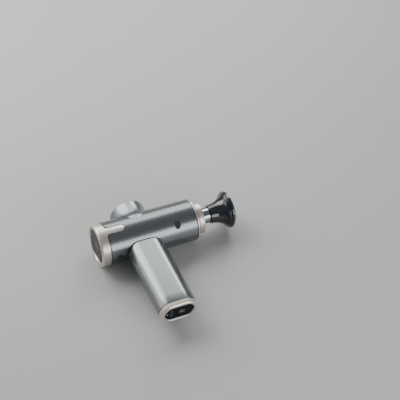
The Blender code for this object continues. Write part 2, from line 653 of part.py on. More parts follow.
def battery_pack(wrap, plastic, board, red, parent):
    low, shoulder, top, edge = CELL_LOW_Y, CELL_TOP_Y - 0.8, CELL_TOP_Y, 0.8
    for k, side in enumerate((-1, 1)):
        can = [(low, 0), (low, CELL_R - edge), (low + edge, CELL_R), (shoulder - edge, CELL_R),
               (shoulder, CELL_R - edge), (shoulder, 4.0), (top, 3.7), (top, 0)]
        turned("battery_cell_%d" % (k + 1), can, wrap, parent, COARSE, along_y,
               (CELL_SPACING * side, 0, 0))
    upper = track_plate("cell_holder_upper", -45.7, -42.5, HANDLE_FLAT, 12.4, plastic, parent, 0.5)
    lower = track_plate("cell_holder_lower", -112.9, -111.3, HANDLE_FLAT, 12.4, plastic, parent, 0.4)
    for name, target, y in (("upper_wire_hole", upper, -44), ("lower_wire_hole", lower, -112)):
        hole = turned_mesh([(y - 4, 0), (y - 4, 2.2), (y + 4, 2.2), (y + 4, 0)], 16, along_y)
        boolean(target, cutter(name, hole, parent), "DIFFERENCE")
    block("battery_board", (-11, -108, 10.0), (11, -52, 11.2), board, parent)
    block("battery_sled", (-12, -108, -11.9), (12, -50, -9.8), plastic, parent, 0.5)


def wire(name, route, radius, surface, parent):
    """A lead drawn as a bevelled curve through its route, with filled ends."""
    curve = bpy.data.curves.new(name, "CURVE")
    curve.dimensions = "3D"
    curve.bevel_depth = radius * MM
    curve.bevel_resolution = 2
    curve.use_fill_caps = True
    spline = curve.splines.new("POLY")
    points = smooth_route(route, 4)
    spline.points.add(len(points) - 1)
    for slot, point in zip(spline.points, points):
        slot.co = (*(point * MM), 1.0)
    curve.materials.append(surface)
    made = bpy.data.objects.new(name, curve)
    bpy.context.scene.collection.objects.link(made)
    made.parent = parent


def smooth_route(route, steps):
    """Points of a smooth curve (Catmull-Rom) through the route's own points."""
    route = [Vector(point) for point in route]
    padded = [route[0]] + route + [route[-1]]
    points = []
    for i in range(1, len(padded) - 2):
        before, start, end, after = padded[i - 1:i + 3]
        for k in range(steps):
            t = k / steps
            points.append(0.5 * (2 * start + (end - before) * t
                                 + (2 * before - 5 * start + 4 * end - after) * t * t
                                 + (3 * start - before - 3 * end + after) * t ** 3))
    points.append(route[-1])
    return points


def wiring(red, black, parent):
    wire("battery_lead", [(0, -42.2, 0), (-3, -36, 0), (-8, -26, 3), (-10, -18, 6),
                          (-22, -12, 10), (-33, -6, 12), (-44.9, -4, 12)], 0.9, red, parent)
    wire("motor_lead", [(-17, 7.9, 0), (-19, 5, -1), (-30, 3, -4), (-44.9, 2, -6)],
         0.9, black, parent)


# ---------------------------------------------------------------- assembly

def build():
    clear_scene()
    gun = bpy.data.objects.new("gun", None)
    bpy.context.scene.collection.objects.link(gun)
    gun.location = OFFSET * MM

    gunmetal = material("gunmetal_paint", (0.20, 0.225, 0.24), 0.32, 0.85)
    silver = material("silver_paint", (0.42, 0.435, 0.44), 0.38, 0.8)
    champagne = material("champagne_metal", (0.66, 0.59, 0.54), 0.28, 0.9)
    bronze_panel = material("dark_champagne", (0.30, 0.26, 0.235), 0.35, 0.8)
    glass = material("black_glass", (0.010, 0.012, 0.016), 0.08)
    gloss = material("black_gloss", (0.014, 0.018, 0.026), 0.12)
    rubber = material("black_rubber", (0.022, 0.023, 0.025), 0.65)
    chrome = material("chrome_steel", (0.62, 0.64, 0.66), 0.12, 1.0)
    steel = material("plain_steel", (0.48, 0.49, 0.50), 0.35, 1.0)
    alloy = material("cast_alloy", (0.55, 0.56, 0.57), 0.45, 0.9)
    brass = material("bronze", (0.55, 0.38, 0.18), 0.4, 0.9)
    copper = material("copper_wire", (0.62, 0.28, 0.14), 0.4, 0.9)
    nylon = material("black_nylon", (0.035, 0.037, 0.04), 0.55)
    green = material("circuit_board", (0.02, 0.12, 0.06), 0.45)
    lens = material("clear_lens", (0.70, 0.74, 0.78), 0.15)
    wrap = material("cell_wrap", (0.05, 0.20, 0.45), 0.35)
    red = material("red_lead", (0.55, 0.03, 0.02), 0.5)
    black = material("black_lead", (0.02, 0.02, 0.02), 0.5)

    barrel_shells(gunmetal, gun)
    rear_cap(champagne, gun)
    rear_controls(bronze_panel, glass, lens, green, gun)
    front_end(champagne, brass, rubber, nylon, gun)
    retaining_screw_and_plug(rubber, steel, gun)
    carrier_screws(steel, gun)
    motor_fixed(alloy, steel, copper, steel, gun)
    crank_body(steel, alloy, brass, gun)
    connecting_rod(alloy, steel, gun)
    piston(chrome, gun)
    massage_head(gloss, rubber, gun)
    handle_shell(silver, rubber, gun)
    handle_end(champagne, glass, nylon, steel, green, lens, gun)
    thumb_button(rubber, nylon, green, gun)
    battery_pack(wrap, nylon, green, red, gun)
    wiring(red, black, gun)


build()
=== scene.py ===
"""The look of the massage gun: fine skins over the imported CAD, finishes, light and camera."""

import json
import math

import bmesh
import bpy
from mathutils import Matrix, Vector

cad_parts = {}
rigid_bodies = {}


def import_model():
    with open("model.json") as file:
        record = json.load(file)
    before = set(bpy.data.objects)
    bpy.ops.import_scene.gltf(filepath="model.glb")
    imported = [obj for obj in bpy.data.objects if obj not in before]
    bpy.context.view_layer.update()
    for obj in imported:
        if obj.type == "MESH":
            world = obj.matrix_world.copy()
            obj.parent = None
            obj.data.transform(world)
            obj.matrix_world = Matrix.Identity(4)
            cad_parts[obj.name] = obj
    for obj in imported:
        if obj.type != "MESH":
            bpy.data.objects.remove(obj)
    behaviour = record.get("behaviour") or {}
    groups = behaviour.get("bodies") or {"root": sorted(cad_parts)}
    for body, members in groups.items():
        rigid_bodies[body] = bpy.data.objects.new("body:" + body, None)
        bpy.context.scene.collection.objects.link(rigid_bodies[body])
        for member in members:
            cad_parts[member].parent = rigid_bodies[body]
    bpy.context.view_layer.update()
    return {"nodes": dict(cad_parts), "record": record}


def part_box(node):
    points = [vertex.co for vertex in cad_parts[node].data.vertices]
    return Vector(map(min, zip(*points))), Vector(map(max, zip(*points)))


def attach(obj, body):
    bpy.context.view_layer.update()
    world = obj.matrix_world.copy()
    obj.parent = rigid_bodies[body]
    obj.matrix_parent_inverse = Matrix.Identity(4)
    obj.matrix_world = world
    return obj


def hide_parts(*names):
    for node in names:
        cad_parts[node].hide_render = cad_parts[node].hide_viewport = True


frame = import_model()

MM = 0.001
NODES = frame["nodes"]

# ---------------------------------------------------------------- driving sizes, millimetres
# Lengths are counted from the gun's own origin, where the motor's axis (along Y)
# crosses the barrel's axis (along X).


def middle(node):
    low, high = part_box(node)
    return (Vector(low) + Vector(high)) / 2


ORIGIN = Vector((middle("motor_shaft").x, middle("front_collar").y, middle("front_collar").z))


def reach(node):
    """A node's lowest and highest corners in millimetres from the gun's origin."""
    low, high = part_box(node)
    return (Vector(low) - ORIGIN) / MM, (Vector(high) - ORIGIN) / MM


shell_low, shell_high = reach("barrel_shell_left")
sleeve_low, sleeve_high = reach("handle_sleeve")
collar_high = reach("front_collar")[1]

BARREL_R = 25.0
BARREL_WALL = 2.5
BARREL_REAR_X = shell_low.x
BARREL_FRONT_X = shell_high.x
SEAM_HALF_GAP = 0.12      # half the parting line between the barrel's two halves

HOUSING_START_Y = 2.0     # the motor housing's root is hidden in the barrel
HOUSING_BASE_R = 24.85
HOUSING_R = 21.25
HOUSING_END_Y = shell_high.y
HOUSING_EDGE = 1.7
FLARE_START_Y = 8.0       # where the housing starts to narrow from its base
FLARE_LENGTH = 8.0
FLARE_POWER = 1.7
WELL_BASE_R = 21.2        # the well that takes the motor
WELL_R = 18.9

TRIM_R = collar_high.z
TRIM_INNER_R = 22.1
CAP_REAR_X = reach("rear_cap")[0].x
CAP_SEAM = 0.9            # dark gap between the barrel and the cap
CAP_FRONT_X = BARREL_REAR_X - CAP_SEAM
TONGUE_ANGLE = 81.0
TONGUE_HALF = 4.0
TONGUE_FLARE = 4.2
TONGUE_TIP_X = -18.8
TONGUE_UNDERSIDE_R = 23.9
TONGUE_GAP = 0.5          # room round the tongue in the barrel's groove
TONGUE_LIP_GAP = 1.1      # and in the shallow step round that groove
TONGUE_LIP_DEPTH = 0.35

PANEL_R = 20.1
PANEL_FACE_X = -50.1
PANEL_BACK_X = -48.5
WINDOW_FLAT = 5.0         # half the straight part of the display's outline
STATUS_LENS_Y = 14.0

COLLAR_R = 19.2
COLLAR_BORE_R = 12.9
COLLAR_FRONT_X = collar_high.x
COLLAR_REAR_X = 60.5
COLLAR_GROOVE_DEPTH = 1.3
FLANGE_X = 66.7

HANDLE_FLAT = 7.8         # half the straight part of the handle's section
HANDLE_R = sleeve_high.z
HANDLE_WALL = 1.8
SLEEVE_START_R = 26.5     # the sleeve stands off the barrel and shows the gasket
SLEEVE_END_Y = sleeve_low.y
RING_SEAM = 0.75          # dark gap between the sleeve and the end ring
RING_END_Y = reach("end_ring")[0].y
PANEL_INSET = 5.6

PISTON_R = 9.6
PISTON_BORE_R = 7.1
PISTON_REAR_X = 42.0
PISTON_FRONT_X = reach("piston_shaft")[1].x
PISTON_BORE_END_X = 58.0
WRIST_X = 25.0
WRIST_HOLE_R = 2.2

STEM_TIP_X = 60.0
STEM_R = 6.3
O_RING_GROOVES_X = (64.0, 74.0)
O_RING_GROOVE_WIDTH = 2.4
O_RING_GROOVE_R = 5.0
HEAD_REAR_X = PISTON_FRONT_X + 0.3
HEAD_SHOULDER_R = 11.0
HEAD_NECK_R = 11.3
HEAD_MOUTH_R = 19.6
HEAD_FLARE_X = (92.0, 109.6)
HEAD_RIM_R = 22.4
HEAD_FRONT_X = reach("head_pad")[1].x

THUMB_BUTTON_X = -31.2
THUMB_HOLE_R = 3.45
MODE_BUTTON_X = 3.0
MODE_BUTTON_FLAT = 1.8
MODE_BUTTON_R = 3.0
PORT_X = -9.0
PORT_FLAT = 2.7
CHARGE_LENS_X = -14.0
PLUG_X = 42.0
PLUG_ANGLE = 45.5
PLUG_HALF_WIDTH = 3.3     # along the barrel
PLUG_HALF_LENGTH = 4.7    # round the barrel
PLUG_GAP = 0.25

ROUND = 144               # sides of the large rounds
BORE_SIDES = 96           # sides of the bores and the shaft
SMALL = 64                # sides of the small rounds
TINY = 32                 # sides of the lenses
CUT_LOW_R, CUT_HIGH_R = 18, 30    # a hole in the barrel's wall is cut between these

SHARP_ANGLE = 32.0        # degrees: an edge that turns by more stays sharp
CARVED_ANGLE = 28.0       # the same where curved forms have been cut
FLAT_ANGLE = 8.0          # the same on flat plates


# ---------------------------------------------------------------- mesh tools

def finish_mesh(name, bm, surface, body, node=None):
    """Turn a bmesh in millimetres from the gun's origin into a piece of the scene."""
    bmesh.ops.scale(bm, verts=bm.verts, vec=(MM, MM, MM))
    bmesh.ops.translate(bm, verts=bm.verts, vec=ORIGIN)
    bmesh.ops.recalc_face_normals(bm, faces=bm.faces)
    mesh = bpy.data.meshes.new(name)
    bm.to_mesh(mesh)
    bm.free()
    mesh.shade_smooth()
    mesh.set_sharp_from_angle(angle=math.radians(SHARP_ANGLE))
    piece = bpy.data.objects.new(name, mesh)
    bpy.context.scene.collection.objects.link(piece)
    if surface is not None:
        mesh.materials.append(surface)
    if body:
        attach(piece, body)
    if node:
        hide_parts(*([node] if isinstance(node, str) else node))
    return piece


def rounded(outline, closed=True, steps=5):
    """Round the corners of an outline of (a, b, corner radius) points."""
    points = []
    count = len(outline)
    for i, (a, b, radius) in enumerate(outline):
        here = Vector((a, b))
        if radius <= 0 or (not closed and i in (0, count - 1)):
            points.append((a, b))
            continue
        back = Vector(outline[i - 1][:2]) - here
        ahead = Vector(outline[(i + 1) % count][:2]) - here
        turn = back.angle(ahead)
        if abs(turn - math.pi) < 0.02:
            points.append((a, b))
            continue
        trim = min(radius / math.tan(turn / 2), 0.49 * back.length, 0.49 * ahead.length)
        radius = trim * math.tan(turn / 2)
        start = here + back.normalized() * trim
        end = here + ahead.normalized() * trim
        towards = (back.normalized() + ahead.normalized()).normalized()
        centre = here + towards * (radius / math.sin(turn / 2))
        first, last = start - centre, end - centre
        sweep = first.angle(last)
        for k in range(steps + 1):
            t = k / steps
            mix = (math.sin((1 - t) * sweep) * first + math.sin(t * sweep) * last) / math.sin(sweep)
            points.append(tuple(centre + mix))
    return points


def along_x(a, u, v):
    return Vector((a, u, v))


def along_y(a, u, v):
    return Vector((v, a, u))


def radial_axis(angle, stretch=1.0):
    """A frame whose first axis stands out from the barrel, drawn out round the barrel."""
    turn = math.radians(angle)
    out = Vector((0, -math.cos(turn), math.sin(turn)))
    side = Vector((0, math.sin(turn), math.cos(turn)))
    return lambda a, u, v: out * a + Vector((u, 0, 0)) + side * v * stretch


def skin(rows, closed_rows):
    """Quads between successive rings of points; each ring is closed on itself."""
    bm = bmesh.new()
    rings = [[bm.verts.new(point) for point in row] for row in rows]
    last = len(rings) if closed_rows else len(rings) - 1
    for i in range(last):
        low, high = rings[i], rings[(i + 1) % len(rings)]
        for k in range(len(low)):
            n = (k + 1) % len(low)
            bm.faces.new((low[k], low[n], high[n], high[k]))
    if not closed_rows:
        bm.faces.new(list(reversed(rings[0])))
        bm.faces.new(rings[-1])
    return bm


def lathe(outline, sides=ROUND, place=along_x, centre=(0, 0, 0), steps=5):
    """Spin an outline of (along, radius, corner radius); it may start and end on the axis."""
    centre = Vector(centre)
    solid = outline[0][1] == 0
    profile = rounded(outline, not solid, steps)
    if solid:
        profile = profile[1:-1]
    rows = []
    for along, radius in profile:
        row = []
        for k in range(sides):
            turn = 2 * math.pi * (k + 0.5) / sides
            row.append(centre + place(along, radius * math.cos(turn), radius * math.sin(turn)))
        rows.append(row)
    return skin(rows, not solid)


def race_track(flat, radius, steps=25):
    """Two half rounds joined by straight sides, as flat points."""
    points = []
    for side, first in ((flat, -90), (-flat, 90)):
        for k in range(steps + 1):
            turn = math.radians(first + 180 * k / steps)
            points.append((side + radius * math.cos(turn), radius * math.sin(turn)))
    return points


def track_ring(y, inset, flat=HANDLE_FLAT, radius=HANDLE_R, shift=0.0, steps=25):
    """The handle's section, or another race track, drawn in from its outline at one Y."""
    return [Vector((x + shift, y, z)) for x, z in race_track(flat, radius - inset, steps)]


def saddle_ring(barrel_radius, inset):
    """The handle's outline wrapped onto a cylinder round the barrel's axis."""
    ring = []
    for x, z in race_track(HANDLE_FLAT, HANDLE_R - inset):
        ring.append(Vector((x, -math.sqrt(barrel_radius ** 2 - z * z), z)))
    return ring


def track_solid(outline, closed, radius=HANDLE_R):
    """Loft the handle's section through an outline of (y, inset, corner radius)."""
    rows = [track_ring(y, inset, radius=radius) for y, inset in rounded(outline, closed)]
    return skin(rows, closed)


def form(name, bm):
    """A hidden tool for cutting or joining."""
    tool = finish_mesh(name, bm, None, None)
    tool.hide_render = True
    return tool


def carve(piece, tools, angle=CARVED_ANGLE):
    """Apply a list of (operation, tool) in order and mark the sharp edges again."""
    for operation, tool in tools:
        modifier = piece.modifiers.new(operation.lower(), "BOOLEAN")
        modifier.operation = operation
        modifier.solver = "EXACT"
        modifier.object = tool
    evaluated = piece.evaluated_get(bpy.context.evaluated_depsgraph_get())
    shaped = bpy.data.meshes.new_from_object(evaluated)
    piece.modifiers.clear()
    piece.data = shaped
    shaped.set_sharp_from_angle(angle=math.radians(angle))


# ---------------------------------------------------------------- materials

def new_material(name, colour, roughness, metallic=0.0, coat=0.0, coat_roughness=0.1,
                 ior=1.5):
    made = bpy.data.materials.new(name)
    made.use_nodes = True
    shader = made.node_tree.nodes["Principled BSDF"]
    shader.inputs["Base Color"].default_value = (*colour, 1)
    shader.inputs["Roughness"].default_value = roughness
    shader.inputs["Metallic"].default_value = metallic
    shader.inputs["Coat Weight"].default_value = coat
    shader.inputs["Coat Roughness"].default_value = coat_roughness
    shader.inputs["IOR"].default_value = ior
    return made, made.node_tree, shader


def noise(tree, scale, detail=3.0, stretch=(1, 1, 1), roughness=0.5):
    """A noise in object metres, so its scale is in lumps per metre."""
    place = tree.nodes.new("ShaderNodeTexCoord")
    mapping = tree.nodes.new("ShaderNodeMapping")
    mapping.inputs["Scale"].default_value = stretch
    texture = tree.nodes.new("ShaderNodeTexNoise")
    texture.inputs["Scale"].default_value = scale
    texture.inputs["Detail"].default_value = detail
    texture.inputs["Roughness"].default_value = roughness
    tree.links.new(place.outputs["Object"], mapping.inputs["Vector"])
    tree.links.new(mapping.outputs["Vector"], texture.inputs["Vector"])
    return texture.outputs["Fac"]


def ramp(tree, source, stops):
    """Colours at stops along a source that runs from 0 to 1."""
    node = tree.nodes.new("ShaderNodeValToRGB")
    elements = node.color_ramp.elements
    while len(elements) < len(stops):
        elements.new(0.5)
    for element, (position, colour) in zip(elements, stops):
        element.position = position
        element.color = (*colour, 1)
    tree.links.new(source, node.inputs["Fac"])
    return node.outputs["Color"]


def spread(tree, source, low, high):
    """A noise's usual range stretched from low to high."""
    node = tree.nodes.new("ShaderNodeMapRange")
    node.inputs["From Min"].default_value = 0.3
    node.inputs["From Max"].default_value = 0.7
    node.inputs["To Min"].default_value = low
    node.inputs["To Max"].default_value = high
    tree.links.new(source, node.inputs["Value"])
    return node.outputs["Result"]


def blend_colour(tree, factor, first, second):
    """Mix two colours; each of the three inputs is a value or another node's output."""
    node = tree.nodes.new("ShaderNodeMix")
    node.data_type = "RGBA"
    for socket, value in ((0, factor), (6, first), (7, second)):
        if isinstance(value, (tuple, float)):
            node.inputs[socket].default_value = (*value, 1) if isinstance(value, tuple) else value
        else:
            tree.links.new(value, node.inputs[socket])
    return node.outputs[2]


def bump(tree, shader, source, depth):
    """Surface relief: depth is the height of the source's full range, in millimetres."""
    node = tree.nodes.new("ShaderNodeBump")
    node.inputs["Strength"].default_value = 1.0
    node.inputs["Distance"].default_value = depth * MM
    tree.links.new(source, node.inputs["Height"])
    tree.links.new(node.outputs["Normal"], shader.inputs["Normal"])


def painted_edge_highlight(tree):
    """Painted highlight mask: bright where the mesh's edges stand out."""
    low, high = 0.52, 0.60
    shape = tree.nodes.new("ShaderNodeNewGeometry")
    node = tree.nodes.new("ShaderNodeMapRange")
    node.inputs["From Min"].default_value = low
    node.inputs["From Max"].default_value = high
    tree.links.new(shape.outputs["Pointiness"], node.inputs["Value"])
    return node.outputs["Result"]


def metallic_paint(name, base, flake, roughness):
    """Satin metallic lacquer: fine flake, faint clouding, slight orange peel."""
    made, tree, shader = new_material(name, base, roughness, 0.9, 0.06, 0.3)
    flake_scale, cloud_scale, smear_scale, peel_scale, peel_depth = 5200, 38, 90, 1400, 0.00012
    speck = noise(tree, flake_scale, 1.0)
    cloud = noise(tree, cloud_scale, 3.0)
    flakes = ramp(tree, speck, [(0.36, base), (0.62, flake)])
    dull = tuple(0.90 * value for value in base)
    colour = blend_colour(tree, spread(tree, cloud, 0.0, 0.2), flakes, dull)
    tree.links.new(colour, shader.inputs["Base Color"])
    smear = noise(tree, smear_scale, 2.0)
    tree.links.new(spread(tree, smear, roughness - 0.008, roughness + 0.012),
                   shader.inputs["Roughness"])
    bump(tree, shader, noise(tree, peel_scale, 1.0), peel_depth)
    return made


def anodised(name, colour, light, roughness):
    """Bead-blasted and anodised aluminium, with a painted highlight along its sharp edges."""
    made, tree, shader = new_material(name, colour, roughness, 0.85)
    grain_scale, cloud_scale, grain_depth = 4200, 60, 0.0005
    grain_noise = noise(tree, grain_scale, 2.0)
    cloud = noise(tree, cloud_scale, 2.0)
    tone = ramp(tree, grain_noise, [(0.35, colour), (0.66, light)])
    tone = blend_colour(tree, spread(tree, cloud, 0.0, 0.2), tone,
                        tuple(0.95 * value for value in colour))
    # Painted highlight: the base colour is lightened along the mesh's sharp edges.
    edge_highlit_tone = blend_colour(tree, painted_edge_highlight(tree), tone, tuple(min(1, 1.12 * v) for v in light))
    tree.links.new(edge_highlit_tone, shader.inputs["Base Color"])
    tree.links.new(spread(tree, grain_noise, roughness - 0.04, roughness + 0.06),
                   shader.inputs["Roughness"])
    bump(tree, shader, grain_noise, grain_depth)
    return made


def polished_black(name, colour, roughness, peel=0.002, coat=0.0, gleam=0.5):
    """Glossy black plastic with a trace of dust and handling haze."""
    made, tree, shader = new_material(name, colour, roughness, 0.0, coat, 0.05, 1.45)
    shader.inputs["Specular IOR Level"].default_value = gleam
    haze_scale, dust_scale, peel_scale = 70, 2600, 260
    haze = noise(tree, haze_scale, 4.0, (1, 1, 1), 0.6)
    dust = noise(tree, dust_scale, 1.0)
    tree.links.new(spread(tree, haze, roughness - 0.02, roughness + 0.08),
                   shader.inputs["Roughness"])
    lighter = tuple(value * 1.8 + 0.006 for value in colour)
    specks = ramp(tree, dust, [(0.72, colour), (0.80, lighter)])
    tree.links.new(specks, shader.inputs["Base Color"])
    bump(tree, shader, noise(tree, peel_scale, 2.0), peel)
    return made


def black_rubber(name, colour):
    """Soft-touch rubber with fine pores and a little bloom."""
    made, tree, shader = new_material(name, colour, 0.6, 0.0)
    shader.inputs["Sheen Weight"].default_value = 0.25
    shader.inputs["Sheen Roughness"].default_value = 0.4
    pore_scale, bloom_scale, pore_depth = 2400, 150, 0.02
    pores = noise(tree, pore_scale, 2.0)
    bloom = noise(tree, bloom_scale, 3.0)
    tone = blend_colour(tree, spread(tree, bloom, 0.0, 0.5), colour,
                        tuple(value * 1.6 + 0.004 for value in colour))
    tree.links.new(tone, shader.inputs["Base Color"])
    tree.links.new(spread(tree, pores, 0.52, 0.72), shader.inputs["Roughness"])
    bump(tree, shader, pores, pore_depth)
    return made


def plain_metal(name, colour, roughness, stretch=(1, 1, 1), scale=600, depth=0.004):
    """Bare metal with a grain that stretch can draw out one way."""
    made, tree, shader = new_material(name, colour, roughness, 1.0)
    grain = noise(tree, scale, 3.0, stretch)
    dark = tuple(value * 0.82 for value in colour)
    tree.links.new(ramp(tree, grain, [(0.3, dark), (0.65, colour)]), shader.inputs["Base Color"])
    tree.links.new(spread(tree, grain, roughness * 0.8, roughness * 1.25),
                   shader.inputs["Roughness"])
    bump(tree, shader, grain, depth)
    return made


def moulded(name, colour, roughness, scale=1400, depth=0.01):
    """Moulded plastic with an even texture."""
    made, tree, shader = new_material(name, colour, roughness)
    texture = noise(tree, scale, 2.0)
    lighter = tuple(min(1, value * 1.25 + 0.004) for value in colour)
    tree.links.new(ramp(tree, texture, [(0.35, colour), (0.7, lighter)]),
                   shader.inputs["Base Color"])
    tree.links.new(spread(tree, texture, roughness - 0.05, roughness + 0.08),
                   shader.inputs["Roughness"])
    bump(tree, shader, texture, depth)
    return made


def circuit_board_material():
    """Green mask with copper tracks just under it."""
    made, tree, shader = new_material("board_mask", (0.015, 0.10, 0.05), 0.35)
    place = tree.nodes.new("ShaderNodeTexCoord")
    brick = tree.nodes.new("ShaderNodeTexBrick")
    brick.inputs["Scale"].default_value = 220
    brick.inputs["Mortar Size"].default_value = 0.06
    brick.inputs["Color1"].default_value = (0.012, 0.10, 0.045, 1)
    brick.inputs["Color2"].default_value = (0.016, 0.12, 0.055, 1)
    brick.inputs["Mortar"].default_value = (0.05, 0.22, 0.10, 1)
    tree.links.new(place.outputs["Object"], brick.inputs["Vector"])
    tree.links.new(brick.outputs["Color"], shader.inputs["Base Color"])
    bump(tree, shader, brick.outputs["Fac"], 0.03)
    return made


GUNMETAL = metallic_paint("gunmetal_lacquer", (0.205, 0.227, 0.237), (0.240, 0.264, 0.274), 0.27)
SILVER = metallic_paint("silver_lacquer", (0.218, 0.233, 0.238), (0.248, 0.265, 0.270), 0.26)
CHAMPAGNE = anodised("champagne_anodised", (0.660, 0.590, 0.545), (0.740, 0.675, 0.630), 0.36)
BRONZED = anodised("dark_champagne_anodised", (0.026, 0.021, 0.019), (0.040, 0.033, 0.029), 0.38)
GLASS = polished_black("black_window", (0.003, 0.004, 0.006), 0.12, 0.0006, 0.0, 0.22)
GLOSS = polished_black("black_gloss_plastic", (0.010, 0.014, 0.020), 0.13, 0.002, 0.9)
SATIN = moulded("satin_black_key", (0.020, 0.023, 0.028), 0.50, 1800, 0.004)
RUBBER = black_rubber("black_rubber_skin", (0.016, 0.017, 0.019))
CHROME = plain_metal("polished_chrome", (0.46, 0.48, 0.50), 0.09, (0.05, 1, 1), 2200, 0.0008)
STEEL = plain_metal("ground_steel", (0.46, 0.47, 0.48), 0.32)
ALLOY = plain_metal("cast_alloy_skin", (0.52, 0.53, 0.54), 0.45, (1, 1, 1), 300, 0.03)
BRONZE = plain_metal("sintered_bronze", (0.50, 0.34, 0.15), 0.42, (1, 1, 1), 1200, 0.02)
COPPER = plain_metal("copper_windings", (0.60, 0.26, 0.12), 0.35, (1, 9, 1), 260, 0.25)
NYLON = moulded("black_nylon_skin", (0.028, 0.030, 0.033), 0.5)
BOARD = circuit_board_material()
LENS = moulded("frosted_lens", (0.42, 0.48, 0.55), 0.18, 900, 0.004)
SMOKE = polished_black("smoked_lens", (0.004, 0.004, 0.005), 0.12, 0.002, 0.0, 0.25)
WRAP = moulded("cell_wrap_film", (0.03, 0.15, 0.38), 0.28, 120, 0.03)
RED = moulded("red_insulation", (0.50, 0.025, 0.02), 0.45)
BLACK = moulded("black_insulation", (0.018, 0.018, 0.020), 0.5)


def dress_carried_nodes():
    """Give every CAD node that stays its finished material."""
    by_slot = {"gunmetal": GUNMETAL, "silver": SILVER, "champagne": CHAMPAGNE,
               "dark_champagne": BRONZED, "black_glass": GLASS, "gloss_black": GLOSS,
               "rubber": RUBBER, "chrome": CHROME, "steel": STEEL, "alloy": ALLOY,
               "bronze": BRONZE, "copper": COPPER, "nylon": NYLON, "circuit_board": BOARD,
               "lens": LENS, "cell_wrap": WRAP, "red_lead": RED, "black_lead": BLACK}
    for entry in frame["record"]["subparts"]:
        node = NODES[entry["node"]]
        node.data.materials.clear()
        node.data.materials.append(by_slot[entry["material_slot"]])


# ---------------------------------------------------------------- barrel

def strip(start, end, half, flare, low_r, high_r):
    """A strip lying round the barrel at the tongue's angle, round at its tip."""
    stations, flare_steps, tip_steps, tip_sweep, columns = [], 11, 15, 86, 16
    for k in range(flare_steps + 1):
        swing = math.radians(90 * k / flare_steps)
        stations.append((start + flare * math.sin(swing), half + flare * (1 - math.sin(swing))))
    for k in range(tip_steps + 1):
        swing = math.radians(tip_sweep * k / tip_steps)
        stations.append((end - half + half * math.sin(swing), half * math.cos(swing)))
    rows = []
    for x, width in stations:
        row = []
        for radius, order in ((high_r, range(columns + 1)), (low_r, range(columns, -1, -1))):
            for c in order:
                turn = math.radians(TONGUE_ANGLE) + width * (2 * c / columns - 1) / BARREL_R
                row.append(Vector((x, -radius * math.cos(turn), radius * math.sin(turn))))
        rows.append(row)
    return skin(rows, False)


def housing_radius(y):
    """The motor housing is a tube that flares out to the barrel's own width at its root."""
    past = max(y - FLARE_START_Y, 0.0) / FLARE_LENGTH
    return HOUSING_R + (HOUSING_BASE_R - HOUSING_R) * math.exp(-past ** FLARE_POWER)


def true_normals(piece):
    """Give every corner on the barrel and on its motor housing the exact curved normal."""
    near, step = 0.12, 0.1
    mesh = piece.data
    smooth = [corner.vector.copy() for corner in mesh.corner_normals]
    for face in mesh.polygons:
        spot = (face.center - ORIGIN) / MM
        out = Vector((0, spot.y, spot.z))
        if abs(out.length - BARREL_R) < near and abs(face.normal.dot(out.normalized())) > 0.99:
            for loop in face.loop_indices:
                point = mesh.vertices[mesh.loops[loop].vertex_index].co - ORIGIN
                smooth[loop] = Vector((0, point.y, point.z)).normalized()
            continue
        out = Vector((spot.x, 0, spot.z))
        on_tube = abs(out.length - housing_radius(spot.y)) < near
        below_edge = spot.y < HOUSING_END_Y - HOUSING_EDGE
        if below_edge and on_tube and face.normal.dot(out.normalized()) > 0.8:
            for loop in face.loop_indices:
                point = (mesh.vertices[mesh.loops[loop].vertex_index].co - ORIGIN) / MM
                change = housing_radius(point.y + step) - housing_radius(point.y - step)
                way = (Vector((point.x, 0, point.z)).normalized()
                       + Vector((0, -change / (2 * step), 0)))
                smooth[loop] = way.normalized()
    mesh.normals_split_custom_set(smooth)


def wall_hole(radius):
    """Outline of a tool that cuts a hole through the barrel's wall."""
    return [(CUT_LOW_R, 0, 0), (CUT_LOW_R, radius, 0), (CUT_HIGH_R, radius, 0),
            (CUT_HIGH_R, 0, 0)]


